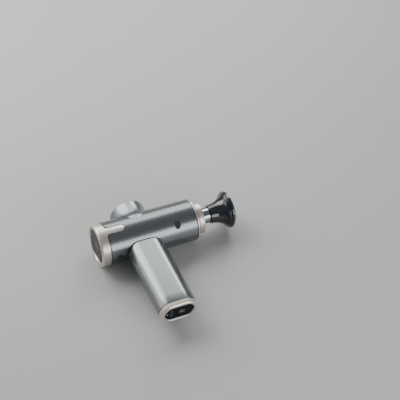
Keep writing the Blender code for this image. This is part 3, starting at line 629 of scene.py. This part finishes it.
def barrel():
    """The two halves of the barrel with the motor's housing behind the handle."""
    inner_r, past = BARREL_R - BARREL_WALL, 2
    tube = [(BARREL_REAR_X, 0, 0), (BARREL_REAR_X, BARREL_R, 0.35),
            (BARREL_FRONT_X, BARREL_R, 0.35), (BARREL_FRONT_X, 0, 0)]
    housing = [(HOUSING_START_Y, 0, 0), (HOUSING_START_Y, HOUSING_BASE_R, 0)]
    housing += [(y, housing_radius(y), 0) for y in range(6, 33)]
    housing += [(HOUSING_END_Y, HOUSING_R, HOUSING_EDGE), (HOUSING_END_Y, 0, 0)]
    bore = [(BARREL_REAR_X - past, 0, 0), (BARREL_REAR_X - past, inner_r, 0),
            (BARREL_FRONT_X + past, inner_r, 0), (BARREL_FRONT_X + past, 0, 0)]
    well = [(1.0, 0, 0), (1.0, WELL_BASE_R, 0), (12.0, WELL_BASE_R, 0), (20.0, WELL_R, 0),
            (HOUSING_END_Y - BARREL_WALL, WELL_R, 0), (HOUSING_END_Y - BARREL_WALL, 0, 0)]
    mouth = [track_ring(-32, 4.4), track_ring(-14, 4.4)]
    button_hole = lathe(wall_hole(THUMB_HOLE_R), SMALL, radial_axis(0), (THUMB_BUTTON_X, 0, 0))
    hole_r = PLUG_HALF_WIDTH + PLUG_GAP
    oval = radial_axis(PLUG_ANGLE, (PLUG_HALF_LENGTH + PLUG_GAP) / hole_r)
    plug_hole = lathe(wall_hole(hole_r), SMALL, oval, (PLUG_X, 0, 0))
    groove = strip(CAP_FRONT_X + CAP_SEAM / 2, TONGUE_TIP_X + TONGUE_GAP,
                   TONGUE_HALF + TONGUE_GAP, TONGUE_FLARE - 0.4, 23.4, 28.0)
    lip = strip(CAP_FRONT_X + CAP_SEAM / 2, TONGUE_TIP_X + TONGUE_LIP_GAP,
                TONGUE_HALF + TONGUE_LIP_GAP, TONGUE_FLARE - 0.4,
                BARREL_R - TONGUE_LIP_DEPTH, 28.0)
    common = [("UNION", form("housing_form", lathe(housing, ROUND, along_y, steps=8))),
              ("DIFFERENCE", form("bore_form", lathe(bore, BORE_SIDES))),
              ("DIFFERENCE", form("well_form", lathe(well, BORE_SIDES, along_y))),
              ("DIFFERENCE", form("mouth_form", skin(mouth, False))),
              ("DIFFERENCE", form("button_hole_form", button_hole))]
    left_only = [("DIFFERENCE", form("groove_form", groove)),
                 ("DIFFERENCE", form("lip_form", lip)),
                 ("DIFFERENCE", form("plug_hole_form", plug_hole))]
    half_size = Vector((160, 120, 40))
    for name, side, extra in (("left", 1, left_only), ("right", -1, [])):
        other = bmesh.new()
        bmesh.ops.create_cube(other, size=1.0)
        bmesh.ops.scale(other, verts=other.verts, vec=half_size)
        bmesh.ops.translate(other, verts=other.verts,
                            vec=(10, 0, side * (SEAM_HALF_GAP - half_size.z / 2)))
        other_half = [("DIFFERENCE", form("other_half_" + name, other))]
        shell = finish_mesh("barrel_skin_" + name, lathe(tube), GUNMETAL, "housing",
                            "barrel_shell_" + name)
        carve(shell, common + extra + other_half)
        true_normals(shell)


def drop_forms():
    """Remove the cutting tools once every piece has been carved."""
    for item in list(bpy.data.objects):
        is_tool = item.name.endswith("_form") or item.name.startswith("other_half")
        if item.hide_render and is_tool:
            bpy.data.objects.remove(item)


def rear_cap():
    """The cap and its tongue in one skin: its front edge runs forward along the tongue."""
    edge, tuck = 0.22, 0.25      # rounding of the front edge; how far in the tongue's sides drop
    back = rounded([(CAP_FRONT_X, TRIM_R, 0), (CAP_REAR_X, TRIM_R, 2.6),
                    (CAP_REAR_X, 20.9, 0.6), (CAP_REAR_X + 1.6, 20.35, 0.2),
                    (-48.2, 20.35, 0), (-48.2, 18.6, 0), (-47.0, 18.6, 0), (-47.0, 20.6, 0),
                    (-37.0, 20.6, 0), (-37.0, TRIM_INNER_R, 0),
                    (CAP_FRONT_X, TRIM_INNER_R, 0)], False, 8)
    half = TONGUE_HALF
    arcs = [k * 0.5 for k in range(8)] + [half - tuck, half - 0.1, half]
    flare = [half + 0.01 + TONGUE_FLARE * (1 - math.cos(math.radians(6 * k))) for k in range(16)]
    side = arcs + flare
    spans = [-s for s in reversed(side[1:])] + side
    turns = [math.radians(TONGUE_ANGLE) + s / TRIM_R for s in spans]
    step = 2 * math.pi / ROUND
    rest = 2 * math.pi - (turns[-1] - turns[0])
    extra = int(rest / step)
    turns += [turns[-1] + rest * k / extra for k in range(1, extra)]
    rows = []
    for index, turn in enumerate(turns):
        front_x, drop, on_tongue = CAP_FRONT_X, 0.0, False
        if index < len(spans):
            s = abs(spans[index])
            if s <= half:
                on_tongue = True
                front_x = TONGUE_TIP_X - half + math.sqrt(max(half * half - s * s, 0.0))
                drop = max(0.0, (s - half + tuck)) * 0.9
            elif s < half + TONGUE_FLARE:
                depth = half + TONGUE_FLARE - s
                front_x = (CAP_FRONT_X + TONGUE_FLARE
                           - math.sqrt(max(TONGUE_FLARE ** 2 - depth ** 2, 0.0)))
        root_x = CAP_FRONT_X + TONGUE_FLARE if on_tongue else front_x - 2 * edge
        top_r = TRIM_R - drop
        front = [(CAP_FRONT_X - 1.0, TRIM_R), (max(root_x, CAP_FRONT_X - 0.9), top_r),
                 (front_x - edge, top_r), (front_x - 0.3 * edge, top_r - 0.3 * edge),
                 (front_x, top_r - edge), (front_x, TONGUE_UNDERSIDE_R),
                 (CAP_FRONT_X, TONGUE_UNDERSIDE_R)]
        profile = list(reversed(front)) + back[1:]
        rows.append([Vector((x, -r * math.cos(turn), r * math.sin(turn))) for x, r in profile])
    finish_mesh("rear_cap_skin", skin(rows, True), CHAMPAGNE, "housing", "rear_cap")


def rear_panel():
    """The sunk plate in the cap with the display's window and the status lens in it."""
    outline = [(PANEL_FACE_X, 0, 0), (PANEL_FACE_X, PANEL_R, 0.25), (PANEL_BACK_X, PANEL_R, 0),
               (PANEL_BACK_X, 0, 0)]
    plate = finish_mesh("rear_panel_skin", lathe(outline), BRONZED, "housing", "rear_panel")
    slot_rows = [[Vector((x, y, z)) for y, z in race_track(WINDOW_FLAT, radius)]
                 for x, radius in ((-53.0, 3.9), (-50.3, 3.6), (-49.9, 3.25), (-46.0, 3.25))]
    lens_hole = [(-53, 0, 0), (-53, 1.15, 0), (-45, 1.15, 0), (-45, 0, 0)]
    lens_tool = lathe(lens_hole, TINY, along_x, (0, STATUS_LENS_Y, 0))
    carve(plate, [("DIFFERENCE", form("slot_form", skin(slot_rows, False))),
                  ("DIFFERENCE", form("lens_form", lens_tool))], FLAT_ANGLE)
    window = [[Vector((x, y, z)) for y, z in race_track(WINDOW_FLAT, radius)]
              for x, radius in ((-50.15, 2.5), (-50.12, 2.8), (-49.95, 2.98), (-48.7, 3.0))]
    finish_mesh("display_window_skin", skin(window, False), GLASS, "housing", "display_window")
    lens = [(-50.2, 0, 0), (-50.2, 0.9, 0.3), (-48.7, 0.9, 0), (-48.7, 0, 0)]
    finish_mesh("status_lens_skin", lathe(lens, TINY, along_x, (0, STATUS_LENS_Y, 0)), SMOKE,
                "housing", "status_lens")


def front_collar():
    """The collar with its flange and groove, and the wiper seal round the shaft."""
    groove_r, step_x = COLLAR_R - COLLAR_GROOVE_DEPTH, COLLAR_FRONT_X - 0.4
    outline = [(FLANGE_X, TRIM_R, 0.45), (FLANGE_X, TRIM_INNER_R, 0),
               (COLLAR_REAR_X, TRIM_INNER_R, 0.3), (COLLAR_REAR_X, COLLAR_BORE_R, 0.3),
               (step_x, COLLAR_BORE_R, 0.2), (step_x, 14.4, 0.2), (COLLAR_FRONT_X, 14.8, 0.2),
               (COLLAR_FRONT_X, COLLAR_R, 1.25), (71.9, COLLAR_R, 0.2), (71.7, groove_r, 0.1),
               (69.6, groove_r, 0.3), (68.6, COLLAR_R + 0.7, 0.3), (68.4, TRIM_R, 0.55)]
    finish_mesh("front_collar_skin", lathe(outline, steps=6), CHAMPAGNE, "housing",
                "front_collar")
    seal = [(73.6, 12.6, 0.2), (73.6, 9.9, 0.3), (77.2, 9.9, 0.3), (78.2, 10.6, 0.35),
            (78.2, 12.6, 0.4)]
    finish_mesh("shaft_seal_skin", lathe(seal, BORE_SIDES), RUBBER, "housing", "shaft_seal")


def side_plug():
    """The oval rubber plug, with a raised rim round a sunk middle."""
    width = PLUG_HALF_WIDTH
    outline = [(23.0, 0, 0), (23.0, width, 0.3), (24.6, width, 0.45), (24.6, width - 0.9, 0.3),
               (24.2, width - 1.2, 0.3), (24.1, 0, 0)]
    oval = radial_axis(PLUG_ANGLE, PLUG_HALF_LENGTH / width)
    finish_mesh("side_plug_skin", lathe(outline, SMALL, oval, (PLUG_X, 0, 0)), RUBBER,
                "housing", "side_plug")


# ---------------------------------------------------------------- piston and head

def piston():
    """The polished shaft, with the lug at its back that carries the wrist pin."""
    outline = [(PISTON_REAR_X, 0, 0), (PISTON_REAR_X, PISTON_R, 0.5),
               (PISTON_FRONT_X, PISTON_R, 0.6), (PISTON_FRONT_X, PISTON_BORE_R, 0.4),
               (PISTON_BORE_END_X, PISTON_BORE_R, 0.5), (PISTON_BORE_END_X, 0, 0)]
    shaft = finish_mesh("piston_skin", lathe(outline, BORE_SIDES), CHROME, "piston",
                        "piston_shaft")
    lug = bmesh.new()
    bmesh.ops.create_cube(lug, size=1.0)
    low, high = Vector((WRIST_X - 4.5, 2.9, -4.6)), Vector((PISTON_REAR_X + 2.0, 7.4, 4.6))
    bmesh.ops.scale(lug, verts=lug.verts, vec=high - low)
    bmesh.ops.translate(lug, verts=lug.verts, vec=(low + high) / 2)
    hole = [(-1, 0, 0), (-1, WRIST_HOLE_R, 0), (9, WRIST_HOLE_R, 0), (9, 0, 0)]
    carve(shaft, [("UNION", form("lug_form", lug)),
                  ("DIFFERENCE", form("wrist_form", lathe(hole, 48, along_y, (WRIST_X, 0, 0))))])


def massage_head():
    """Trumpet-shaped head: stem, neck and flare in one turning, then the pressing disc."""
    core = [(STEM_TIP_X, 0, 0), (STEM_TIP_X, STEM_R, 0.8)]
    for start in O_RING_GROOVES_X:
        end = start + O_RING_GROOVE_WIDTH
        core += [(start, STEM_R, 0.1), (start, O_RING_GROOVE_R, 0.1),
                 (end, O_RING_GROOVE_R, 0.1), (end, STEM_R, 0.1)]
    core += [(HEAD_REAR_X, STEM_R, 0.2), (HEAD_REAR_X, HEAD_SHOULDER_R, 0.7)]
    flare_start, flare_end = HEAD_FLARE_X
    for k in range(15):
        t = k / 14
        x = flare_start + (flare_end - flare_start) * t
        swell = 0.32 * t + 0.68 * t ** 3.4
        core.append((x, HEAD_NECK_R + (HEAD_MOUTH_R - HEAD_NECK_R) * swell, 0))
    core += [(109.8, 19.3, 0.1), (110.2, 19.3, 0.1), (110.4, 20.3, 0.3), (111.2, 20.8, 0.3),
             (111.9, 20.8, 0.3), (111.9, 0, 0)]
    finish_mesh("head_core_skin", lathe(core), GLOSS, "head", "head_core")
    disc = [(112.2, 0, 0), (112.2, 20.9, 0.3), (112.7, HEAD_RIM_R - 0.3, 0.3),
            (113.5, HEAD_RIM_R, 0.4), (115.3, HEAD_RIM_R - 0.1, 0.8),
            (HEAD_FRONT_X, 20.4, 1.2), (HEAD_FRONT_X, 0, 0)]
    finish_mesh("head_pad_skin", lathe(disc, steps=7), GLOSS, "head", "head_pad")


# ---------------------------------------------------------------- handle

def handle():
    """The handle's tube and the dark gasket between it and the barrel."""
    rows, lip, end_round = [], 0.8, 0.5
    for k in range(9):
        swing = math.radians(90 * k / 8)
        rows.append(saddle_ring(SLEEVE_START_R + lip * (1 - math.cos(swing)),
                                lip * (1 - math.sin(swing))))
    rows += [track_ring(y, 0.0) for y in range(-30, -106, -15)]
    for k in range(5):
        swing = math.radians(90 * k / 4)
        rows.append(track_ring(SLEEVE_END_Y + end_round * (1 - math.sin(swing)),
                               end_round * (1 - math.cos(swing))))
    rows += [track_ring(SLEEVE_END_Y, HANDLE_WALL), track_ring(-32.0, HANDLE_WALL),
             saddle_ring(SLEEVE_START_R - 0.3, HANDLE_WALL)]
    finish_mesh("handle_sleeve_skin", skin(rows, True), SILVER, "housing", "handle_sleeve")
    seal = [saddle_ring(25.15, 1.5), saddle_ring(25.9, 1.5), saddle_ring(25.9, 3.2),
            saddle_ring(25.15, 3.2)]
    finish_mesh("handle_gasket_skin", skin(seal, True), RUBBER, "housing", "handle_gasket")


def end_ring():
    """The trim ring at the end of the handle, with a groove round its side."""
    seat_y = RING_END_Y + 2.9
    start_y, ledge = SLEEVE_END_Y - RING_SEAM, PANEL_INSET + 1.2
    outline = [(start_y, 0.7, 0.1), (start_y, 0.0, 0.35), (-119.0, 0.25, 0.25),
               (-119.3, 1.0, 0.1), (-119.75, 1.0, 0.1), (-119.95, 0.6, 0.25),
               (-121.2, 0.9, 0.9), (RING_END_Y, 2.6, 1.0), (RING_END_Y, PANEL_INSET - 1.1, 0.6),
               (RING_END_Y + 1.0, PANEL_INSET - 0.3, 0.3), (seat_y, PANEL_INSET - 0.3, 0),
               (seat_y, ledge, 0), (start_y, ledge, 0)]
    finish_mesh("end_ring_skin", track_solid(outline, True), CHAMPAGNE, "housing", "end_ring")


def end_panel():
    """The black plate in the end ring, cut for the key, the port and the charge lens."""
    outline = [(-119.7, 9.0, 0), (-119.7, 0.0, 0), (-121.0, 0.0, 0.3), (-121.0, 9.0, 0)]
    panel = finish_mesh("end_panel_skin", track_solid(outline, False, HANDLE_R - PANEL_INSET),
                        GLASS, "housing", "end_panel")
    key_hole = [track_ring(y, -grow, MODE_BUTTON_FLAT, MODE_BUTTON_R + 0.3, MODE_BUTTON_X, 15)
                for y, grow in ((-124, 0.8), (-121.2, 0.35), (-120.8, 0.0), (-117, 0.0))]
    port_hole = [port_ring(y, 1.9 + grow)
                 for y, grow in ((-124, 0.7), (-121.2, 0.3), (-120.8, 0.0), (-117, 0.0))]
    lens_hole = lathe([(-124, 0, 0), (-124, 1.1, 0), (-117, 1.1, 0), (-117, 0, 0)], TINY,
                      along_y, (CHARGE_LENS_X, 0, 0))
    carve(panel, [("DIFFERENCE", form("mode_form", skin(key_hole, False))),
                  ("DIFFERENCE", form("port_form", skin(port_hole, False))),
                  ("DIFFERENCE", form("charge_form", lens_hole))], FLAT_ANGLE)


def port_ring(y, radius):
    """The charging port's outline at one Y."""
    return [Vector((PORT_X + z, y, x)) for x, z in race_track(PORT_FLAT, radius, 15)]


def charging_port():
    """The port's metal shell and the small lens beside it."""
    shell = rounded([(-120.9, 1.6, 0.1), (-115.0, 1.6, 0), (-115.0, 0.3, 0),
                     (-115.6, 0.3, 0), (-115.6, 1.25, 0), (-120.9, 1.25, 0.1)])
    finish_mesh("charging_port_skin", skin([port_ring(y, radius) for y, radius in shell], True),
                STEEL, "housing", "charging_port")
    lens = [(-121.1, 0, 0), (-121.1, 0.85, 0.3), (-119.0, 0.85, 0), (-119.0, 0, 0)]
    finish_mesh("charge_lens_skin", lathe(lens, TINY, along_y, (CHARGE_LENS_X, 0, 0)), LENS,
                "housing", "charge_lens")


def mode_button():
    """The key at the end of the handle, with a plain ring for its mark."""
    cap = rounded([(-117.6, -0.9, 0), (-118.6, -0.9, 0), (-118.6, 0.0, 0), (-121.4, 0.05, 0.5),
                   (-121.4, 1.1, 0.4), (-121.15, 1.9, 0.4)], False)
    rows = [track_ring(y, inset, MODE_BUTTON_FLAT, MODE_BUTTON_R, MODE_BUTTON_X, 15)
            for y, inset in cap]
    finish_mesh("mode_button_skin", skin(rows, False), SATIN, "mode_key", "mode_button")
    ring = [(-121.30, 1.05, 0.03), (-121.30, 1.35, 0.03), (-120.9, 1.35, 0), (-120.9, 1.05, 0)]
    mark = lathe(ring, SMALL, along_y, (MODE_BUTTON_X, 0, 0))
    finish_mesh("power_mark", mark, LENS, "mode_key")


def thumb_button():
    """The small rubber button under the barrel, with the flange that keeps it in."""
    outline = [(20.8, 0, 0), (20.8, 4.2, 0.2), (21.6, 4.2, 0.2), (21.6, 3.2, 0), (24.6, 3.2, 0.4),
               (25.45, 2.7, 0.5), (25.7, 1.6, 0.6), (25.6, 0, 0)]
    button = lathe(outline, SMALL, radial_axis(0), (THUMB_BUTTON_X, 0, 0))
    finish_mesh("thumb_button_skin", button, RUBBER, "thumb_key", "thumb_button")


# ---------------------------------------------------------------- stage, light, camera

FLOOR_HALF = 6.0          # metres, and so are the sizes and distances of the soft boxes
AIM_HEIGHT = 0.025        # metres; the soft boxes face the gun's axis
LIGHT_COLOUR = (1.0, 0.985, 0.97)
SKY_COLOUR = (0.80, 0.85, 0.90, 1)
SKY_STRENGTH = 0.24


def studio():
    """A pale floor under the gun and soft boxes in front of it, behind it and above it."""
    bm = bmesh.new()
    bmesh.ops.create_grid(bm, x_segments=4, y_segments=4, size=FLOOR_HALF)
    mesh = bpy.data.meshes.new("floor")
    bm.to_mesh(mesh)
    bm.free()
    floor = bpy.data.objects.new("floor", mesh)
    bpy.context.scene.collection.objects.link(floor)
    paper, tree, shader = new_material("pale_paper", (0.50, 0.50, 0.497), 0.85)
    fibre = noise(tree, 700, 3.0)
    tree.links.new(ramp(tree, fibre, [(0.3, (0.49, 0.49, 0.487)), (0.7, (0.51, 0.51, 0.507))]),
                   shader.inputs["Base Color"])
    mesh.materials.append(paper)

    world = bpy.data.worlds.new("studio_world")
    world.use_nodes = True
    sky = world.node_tree.nodes["Background"]
    sky.inputs["Color"].default_value = SKY_COLOUR
    sky.inputs["Strength"].default_value = SKY_STRENGTH
    bpy.context.scene.world = world

    soft_box("front_box", (0.33, -0.88, 0.30), 0.90, (0.8, 0.50), 3.8)
    soft_box("back_box", (-0.02, 0.74, 0.66), 1.10, (1.9, 0.72), 3.0)
    soft_box("left_back_box", (-0.38, 0.64, 0.66), 1.00, (0.75, 0.60), 2.9)
    soft_box("left_box", (-0.80, 0.50, 0.33), 1.00, (0.70, 0.60), 1.8)
    soft_box("right_box", (0.53, 0.62, 0.58), 1.00, (0.20, 0.40), 6.0)


def soft_box(name, direction, distance, size, brightness):
    """A rectangular light facing the gun; its brightness is what a mirror would show."""
    light = bpy.data.lights.new(name, "AREA")
    light.shape = "RECTANGLE"
    light.size, light.size_y = size
    light.energy = brightness * math.pi * size[0] * size[1]
    light.color = LIGHT_COLOUR
    lamp = bpy.data.objects.new(name, light)
    bpy.context.scene.collection.objects.link(lamp)
    way = Vector(direction).normalized()
    aim = Vector((0.0, 0.0, AIM_HEIGHT))
    lamp.location = aim + way * distance
    lamp.rotation_euler = way.to_track_quat("Z", "Y").to_euler()


def camera():
    """Long lens, above and to the left of the handle, slightly rolled."""
    azimuth, elevation, roll = math.radians(-28.3), math.radians(45.4), math.radians(5.5)
    distance, right_shift, up_shift = 1142.7, 119.1, 53.0      # millimetres
    out = Vector((math.sin(azimuth) * math.cos(elevation),
                  -math.cos(azimuth) * math.cos(elevation), math.sin(elevation)))
    level = Vector((math.cos(azimuth), math.sin(azimuth), 0))
    upright = out.cross(level)
    right = level * math.cos(roll) + upright * math.sin(roll)
    up = upright * math.cos(roll) - level * math.sin(roll)
    aim = Vector((CAP_REAR_X, 0, 0))
    spot = ORIGIN + (aim + out * distance + right * right_shift + up * up_shift) * MM
    view = Matrix((right, up, out)).transposed().to_4x4()
    view.translation = spot
    lens = bpy.data.cameras.new("view")
    lens.lens = 90.0
    lens.sensor_width = 36.0
    lens.clip_start = 0.05
    eye = bpy.data.objects.new("view", lens)
    bpy.context.scene.collection.objects.link(eye)
    eye.matrix_world = view
    bpy.context.scene.camera = eye


camera()
studio()
dress_carried_nodes()
barrel()
rear_cap()
rear_panel()
front_collar()
side_plug()
piston()
massage_head()
handle()
end_ring()
end_panel()
charging_port()
mode_button()
thumb_button()
drop_forms()
